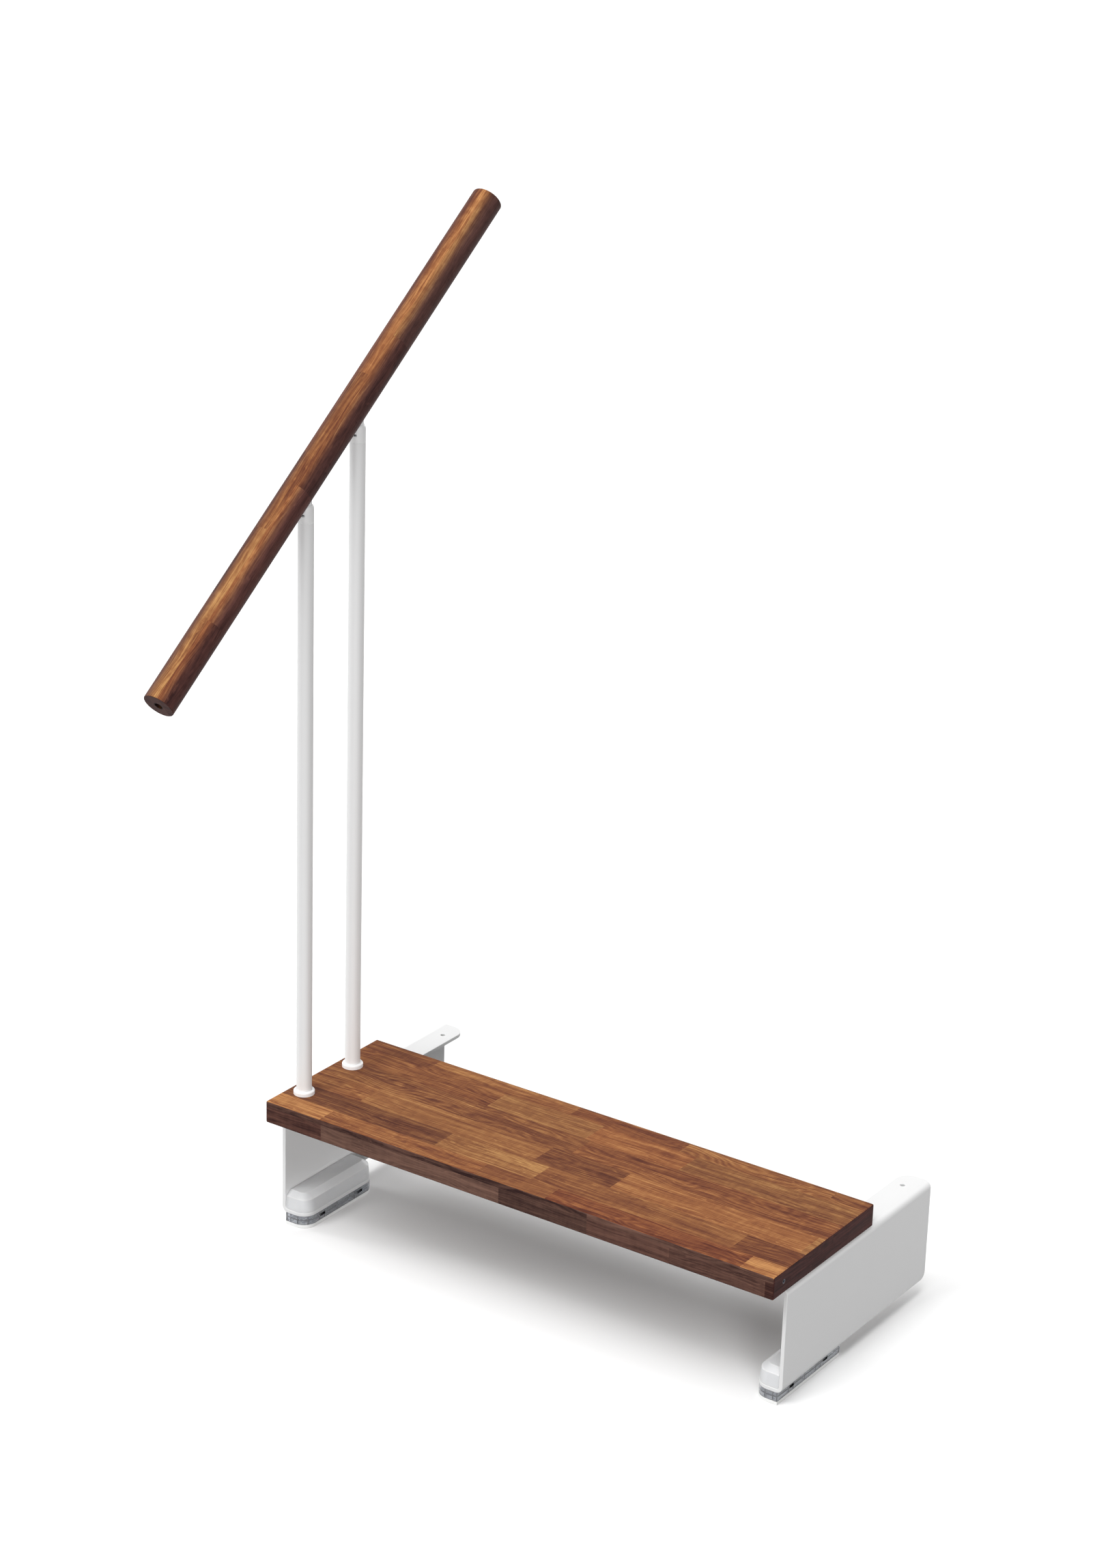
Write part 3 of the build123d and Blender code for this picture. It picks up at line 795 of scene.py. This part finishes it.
class EXTSTEP_OT_thread_studs(bpy.types.Operator):
    """Cut the threads of the two rods that hold the balusters down"""

    bl_idname = "extension_step.thread_studs"
    bl_label = "Thread studs"

    def execute(self, context):
        sizes = context.scene.extension_step_threads
        low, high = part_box("baluster_stud_front")
        rear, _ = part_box("baluster_stud_rear")
        crest = (high.x - low.x) / 2
        root = crest - sizes.stud_depth
        length = high.z - low.z
        helix(root, sizes.stud_depth, sizes.stud_pitch, 0.0, length, sizes.steps)
        trim(length, above=True)
        trim(0.0, above=False)
        share = root / crest
        for tip in (0.0, length):
            choose(lambda place: abs(place.z - tip) < sizes.lead_in)
            bpy.ops.transform.resize(value=(share, share, 1.0), center_override=(0.0, 0.0, tip))
        middle = (low + high) / 2
        bpy.ops.mesh.select_all(action="SELECT")
        bpy.ops.transform.translate(value=(middle.x, middle.y, low.z))
        plate = bpy.data.materials["zinc_plate"]
        front = finish_piece("stud_thread_front", plate, "baluster_stud_front")
        deselect()
        front.select_set(True)
        bpy.ops.object.duplicate(linked=False)
        bpy.ops.object.mode_set(mode="EDIT")
        bpy.ops.mesh.select_all(action="SELECT")
        bpy.ops.transform.translate(value=rear - low)
        # The copy comes with the front rod's note of what it replaces, and gets its own instead.
        del bpy.context.object["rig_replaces"]
        finish_piece("stud_thread_rear", plate, "baluster_stud_rear")
        return {"FINISHED"}


class EXTSTEP_OT_thread_end_insert(bpy.types.Operator):
    """Model the threaded metal insert in the tread's right end"""

    bl_idname = "extension_step.thread_end_insert"
    bl_label = "Thread end insert"

    def execute(self, context):
        sizes = context.scene.extension_step_threads
        low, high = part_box("tread_end_insert")
        radius = (high.z - low.z) / 2
        length = high.x - low.x
        bottom = length / 8
        rim = length - sizes.insert_rim
        mouth = sizes.insert_bore + sizes.insert_rim
        near_face = length - sizes.insert_rim / 10
        deselect()
        bpy.ops.mesh.primitive_cylinder_add(
            vertices=sizes.steps * 2, radius=radius, depth=length, location=(0.0, 0.0, length / 2)
        )
        bpy.ops.object.transform_apply(location=True, rotation=True, scale=True)
        bpy.ops.object.mode_set(mode="EDIT")
        choose(lambda place: place.z > near_face)
        bpy.ops.mesh.inset(thickness=radius - mouth)
        bpy.ops.mesh.extrude_region_move(TRANSFORM_OT_translate={"value": (0.0, 0.0, rim - length)})
        share = sizes.insert_bore / mouth
        bpy.ops.transform.resize(value=(share, share, 1.0), center_override=(0.0, 0.0, 0.0))
        bpy.ops.mesh.extrude_region_move(TRANSFORM_OT_translate={"value": (0.0, 0.0, bottom - rim)})
        bpy.ops.mesh.select_all(action="SELECT")
        bpy.ops.mesh.normals_make_consistent(inside=False)
        bpy.ops.object.mode_set(mode="OBJECT")
        shell = bpy.context.object
        helix(sizes.insert_bore, -sizes.insert_depth, sizes.insert_pitch, bottom, rim, sizes.steps)
        trim(rim, above=True, fill=False)
        trim(bottom, above=False, fill=False)
        bpy.ops.object.mode_set(mode="OBJECT")
        shell.select_set(True)
        bpy.context.view_layer.objects.active = shell
        bpy.ops.object.join()
        shell.rotation_euler = (0.0, math.pi / 2, 0.0)
        shell.location = (low.x, (low.y + high.y) / 2, (low.z + high.z) / 2)
        bpy.ops.object.transform_apply(location=True, rotation=True, scale=True)
        bpy.ops.object.mode_set(mode="EDIT")
        # The insert's near-black zinc is painted shade for the shadow in its hole.
        plate = zinc_plate("insert_shade_zinc_plate", context.scene.extension_step_colours.insert_shade_zinc)
        finish_piece("end_insert_thread", plate, "tread_end_insert")
        return {"FINISHED"}


class EXTSTEP_OT_finish_tread(bpy.types.Operator):
    """Give the tread its glued, stained and lacquered staves"""

    bl_idname = "extension_step.finish_tread"
    bl_label = "Finish tread"

    def execute(self, context):
        wear(["tread"], tread_wood(context.scene.extension_step_colours))
        return {"FINISHED"}


class EXTSTEP_OT_finish_handrail(bpy.types.Operator):
    """Give the handrail its turned and lacquered staves"""

    bl_idname = "extension_step.finish_handrail"
    bl_label = "Finish handrail"

    def execute(self, context):
        wear(["handrail"], rail_wood(context.scene.extension_step_colours))
        return {"FINISHED"}


class EXTSTEP_OT_finish_steelwork(bpy.types.Operator):
    """Powder coat the brackets and the baluster tubes"""

    bl_idname = "extension_step.finish_steelwork"
    bl_label = "Finish brackets and tubes"

    def execute(self, context):
        colours = context.scene.extension_step_colours
        brackets = powder_coat("bracket_powder_coat", colours.coat)
        tubes = powder_coat("tube_powder_coat", colours.tube_coat)
        wear(["bracket_left", "bracket_right"], brackets)
        wear(["baluster_tube_front", "baluster_tube_rear"], tubes)
        return {"FINISHED"}


class EXTSTEP_OT_finish_mouldings(bpy.types.Operator):
    """Give collars, caps, covers, spacers and pads their plastics"""

    bl_idname = "extension_step.finish_mouldings"
    bl_label = "Finish plastic parts"

    def execute(self, context):
        colours = context.scene.extension_step_colours
        white = moulded("white_moulding", colours.moulding, roughness=0.34, fineness=1.4)
        pads = moulded("base_pad", colours.pad, roughness=0.5, fineness=2.2)
        covers = clear_plastic(
            "frosted_cover", colours.frosted, roughness=0.38, clearness=0.4, fineness=1.8,
            light_painting=crease_painted_highlights
        )
        spacers = clear_plastic(
            "smoke_spacer", colours.smoke, roughness=0.06, clearness=0.85, fineness=0.5,
            light_painting=spacer_shade_and_glints
        )
        wear(["collar_front", "collar_rear", "top_cap_front", "top_cap_rear"], white)
        wear(["foot_pad_left", "foot_pad_right"], pads)
        wear(["foot_cover_left", "foot_cover_right"], covers)
        wear(["foot_spacer_left", "foot_spacer_right"], spacers)
        return {"FINISHED"}


class EXTSTEP_OT_finish_fasteners(bpy.types.Operator):
    """Zinc plate the fasteners"""

    bl_idname = "extension_step.finish_fasteners"
    bl_label = "Finish fasteners"

    def execute(self, context):
        plate = zinc_plate("zinc_plate", context.scene.extension_step_colours.zinc)
        kinds = ("stud", "nut", "washer", "bolt", "insert", "plug", "screw")
        wear([name for name in nodes if any(kind in name for kind in kinds)], plate)
        return {"FINISHED"}


def floor_material():
    """A floor that is white to the camera and in reflections, gives back less light to the step,
    and is clear from below."""
    material, tree, shader = new_material("studio_floor")
    tree.nodes.remove(shader)
    path = put(tree, "ShaderNodeLightPath").outputs
    mirrored = calc(tree, "MAXIMUM", path["Is Glossy Ray"], path["Is Transmission Ray"])
    tone = mixed(tree, mirrored, DULL_FLOOR, WHITE)
    tone = mixed(tree, path["Is Camera Ray"], tone, WHITE)
    diffuse = put(tree, "ShaderNodeBsdfDiffuse", Color=tone).outputs[0]
    clear = put(tree, "ShaderNodeBsdfTransparent").outputs[0]
    from_below = put(tree, "ShaderNodeNewGeometry").outputs["Backfacing"]
    both = put(tree, "ShaderNodeMixShader", Fac=from_below, i1=diffuse, i2=clear)
    connect(tree, both.outputs[0], tree.nodes["Material Output"].inputs["Surface"])
    return material


def light_world(strength):
    """An even sky, white where it is looked at, in mirrors and through clear plastic too."""
    world = bpy.context.scene.world or bpy.data.worlds.new("studio_sky")
    bpy.context.scene.world = world
    world.use_nodes = True
    tree = world.node_tree
    tree.nodes.clear()
    path = put(tree, "ShaderNodeLightPath").outputs
    seen = calc(tree, "MAXIMUM", path["Is Camera Ray"], path["Is Transmission Ray"])
    seen = calc(tree, "MAXIMUM", seen, path["Is Glossy Ray"])
    power = mixed(tree, seen, strength, 1.0, "FLOAT")
    sky = put(tree, "ShaderNodeBackground", Color=WHITE, Strength=power)
    output = put(tree, "ShaderNodeOutputWorld")
    connect(tree, sky.outputs[0], output.inputs["Surface"])


def add_lamp(name, azimuth, elevation, spread, strength, share):
    """A broad lamp far away. Its azimuth is 0 in front and 90 on the right, all in degrees."""
    turn = Euler((math.radians(90.0 - elevation), 0.0, math.radians(azimuth)))
    bpy.ops.object.light_add(type="SUN", location=(0.0, 0.0, 3.0), rotation=turn)
    lamp = bpy.context.object
    lamp.name = name
    lamp.data.angle = math.radians(spread)
    lamp.data.energy = strength * share


class EXTSTEP_OT_build_stage(bpy.types.Operator):
    """Lay the floor, light the step and place the camera"""

    bl_idname = "extension_step.build_stage"
    bl_label = "Build stage"

    def execute(self, context):
        stage = context.scene.extension_step_stage
        deselect()
        bpy.ops.mesh.primitive_plane_add(size=stage.floor_size, location=(0.0, 0.0, 0.0))
        floor = context.object
        floor.name = "studio_floor"
        floor.data.materials.append(floor_material())
        light_world(stage.sky)
        for lamp in LAMPS:
            add_lamp(*lamp, stage.lamps)
        place_camera(stage)
        context.scene.view_settings.view_transform = "Standard"
        return {"FINISHED"}


def place_camera(stage):
    """The camera at the photograph's angle, with neither shift nor depth of field."""
    turn = Euler((math.pi / 2 - stage.elevation, 0.0, stage.azimuth)).to_matrix()
    turn = turn @ Matrix.Rotation(stage.roll, 3, "Z")
    place = Vector(stage.aim) + turn @ Vector((0.0, 0.0, stage.distance))
    bpy.ops.object.camera_add(location=place, rotation=turn.to_euler())
    camera = bpy.context.object
    camera.name = "photo_camera"
    camera.data.lens = stage.lens / MM
    camera.data.clip_end = 100.0
    bpy.context.scene.camera = camera


class EXTSTEP_PT_panel(bpy.types.Panel):
    """Sizes, colours and steps of the extension step"""

    bl_idname = "EXTSTEP_PT_panel"
    bl_label = "Extension step"
    bl_space_type = "VIEW_3D"
    bl_region_type = "UI"
    bl_category = "Extension step"

    def draw(self, context):
        layout = self.layout
        scene = context.scene
        groups = (
            scene.extension_step_colours, scene.extension_step_threads, scene.extension_step_stage
        )
        for group in groups:
            box = layout.box()
            for name in group.bl_rna.properties.keys():
                if name not in ("rna_type", "name"):
                    box.prop(group, name)
        for operator in OPERATORS:
            layout.operator(operator.bl_idname)


OPERATORS = (
    EXTSTEP_OT_finish_tread,
    EXTSTEP_OT_finish_handrail,
    EXTSTEP_OT_finish_steelwork,
    EXTSTEP_OT_finish_mouldings,
    EXTSTEP_OT_finish_fasteners,
    EXTSTEP_OT_thread_studs,
    EXTSTEP_OT_thread_end_insert,
    EXTSTEP_OT_build_stage,
)
CLASSES = (
    ExtensionStepColours, ExtensionStepThreads, ExtensionStepStage, *OPERATORS, EXTSTEP_PT_panel
)


def register():
    for item in CLASSES:
        bpy.utils.register_class(item)
    bpy.types.Scene.extension_step_colours = PointerProperty(type=ExtensionStepColours)
    bpy.types.Scene.extension_step_threads = PointerProperty(type=ExtensionStepThreads)
    bpy.types.Scene.extension_step_stage = PointerProperty(type=ExtensionStepStage)


def unregister():
    del bpy.types.Scene.extension_step_stage
    del bpy.types.Scene.extension_step_threads
    del bpy.types.Scene.extension_step_colours
    for item in reversed(CLASSES):
        bpy.utils.unregister_class(item)


def main():
    register()
    bpy.ops.extension_step.finish_tread()
    bpy.ops.extension_step.finish_handrail()
    bpy.ops.extension_step.finish_steelwork()
    bpy.ops.extension_step.finish_mouldings()
    bpy.ops.extension_step.finish_fasteners()
    bpy.ops.extension_step.thread_studs()
    bpy.ops.extension_step.thread_end_insert()
    bpy.ops.extension_step.build_stage()


if __name__ == "__main__":
    main()
